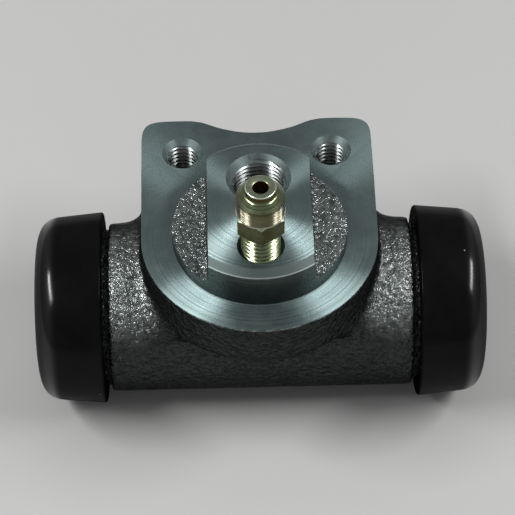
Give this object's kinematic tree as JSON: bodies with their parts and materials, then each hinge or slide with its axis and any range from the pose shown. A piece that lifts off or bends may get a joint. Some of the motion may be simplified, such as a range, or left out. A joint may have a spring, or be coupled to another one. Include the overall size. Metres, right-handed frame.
{
  "type": "wheel cylinder",
  "caption": "Drum brake wheel cylinder: cast barrel with a flat mounting pad, locating spigot, pipe port and bleed screw, with opposed pistons under rubber dust boots.",
  "frame": {"origin": "where the axis of the locating spigot meets the plane of the mounting face", "axes": "+Z out of the mounting face, along the spigot, the pipe port and the bleed screw; +X along the bore; +Y towards the two bolt holes"},
  "size_m": [0.081, 0.0489, 0.0608],
  "materials": {
    "cast_body": "rough cast skin, machined mounting face and spigot",
    "boot_rubber": "satin moulded rubber",
    "plated_steel": "turned steel with yellowish zinc plating",
    "piston_metal": "turned",
    "seal_rubber": "matt rubber",
    "pressed_steel": "pressed sheet",
    "spring_steel": "bright spring wire"
  },
  "bodies": {
    "housing": {"cylinder_body": "cast_body", "left_boot": "boot_rubber", "right_boot": "boot_rubber", "return_spring": "spring_steel"},
    "left_piston": {"left_piston": "piston_metal", "left_cup_seal": "seal_rubber", "left_cup_expander": "pressed_steel"},
    "right_piston": {"right_piston": "piston_metal", "right_cup_seal": "seal_rubber", "right_cup_expander": "pressed_steel"},
    "bleed_screw": {"bleed_screw": "plated_steel"}
  },
  "joints": [
    {"name": "left_piston_slide", "type": "slide", "parent": "housing", "child": "left_piston", "axis": [-1, 0, 0], "range_m": [-0.003, 0.006], "deforming": ["left_boot", "return_spring"]},
    {"name": "right_piston_slide", "type": "slide", "parent": "housing", "child": "right_piston", "axis": [1, 0, 0], "range_m": [-0.003, 0.006], "deforming": ["right_boot", "return_spring"]},
    {"name": "bleed_screw_turn", "type": "hinge", "parent": "housing", "child": "bleed_screw", "pos_m": [0, -0.009, 0.0085], "axis": [0, 0, 1], "range_deg": [0, 360]}
  ]
}
